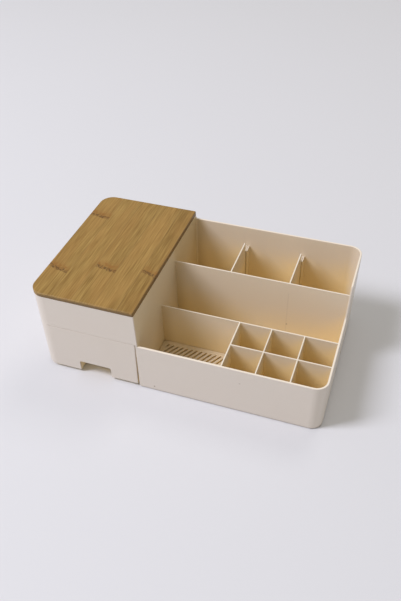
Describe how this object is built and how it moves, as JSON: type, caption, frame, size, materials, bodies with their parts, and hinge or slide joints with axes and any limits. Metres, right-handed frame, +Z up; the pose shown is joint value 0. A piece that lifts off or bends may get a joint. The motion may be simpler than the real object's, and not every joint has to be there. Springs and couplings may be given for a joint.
{
  "type": "makeup organizer",
  "caption": "Desk organizer with a bamboo-lidded bin over a pull-out drawer and an open stepped tray with dividers, small cells and a slotted drain plate.",
  "frame": {"origin": "on the table under the middle of the organizer", "axes": "+X to the right seen from the front, +Y from the front to the back, +Z up"},
  "size_m": [0.3099, 0.187, 0.1058],
  "materials": {
    "cream_plastic": "satin injection-moulded polypropylene, warm cream",
    "bamboo": "caramel bamboo strips under a thin satin lacquer"
  },
  "bodies": {
    "base": {"main_body": "cream_plastic"},
    "drawer": {"drawer": "cream_plastic"},
    "lid": {"bamboo_lid": "bamboo"},
    "divider_left": {"left_divider": "cream_plastic"},
    "divider_right": {"right_divider": "cream_plastic"},
    "grille": {"drain_grille": "cream_plastic"}
  },
  "joints": [
    {"name": "drawer_slide", "type": "slide", "parent": "base", "child": "drawer", "axis": [0, -1, 0], "range_m": [0, 0.14]},
    {"name": "lid_lift", "type": "slide", "parent": "base", "child": "lid", "axis": [0, 0, 1], "range_m": [0, 0.06]},
    {"name": "left_divider_lift", "type": "slide", "parent": "base", "child": "divider_left", "axis": [0, 0, 1], "range_m": [0, 0.1]},
    {"name": "right_divider_lift", "type": "slide", "parent": "base", "child": "divider_right", "axis": [0, 0, 1], "range_m": [0, 0.1]},
    {"name": "grille_lift", "type": "slide", "parent": "base", "child": "grille", "axis": [0, 0, 1], "range_m": [0, 0.08]}
  ]
}
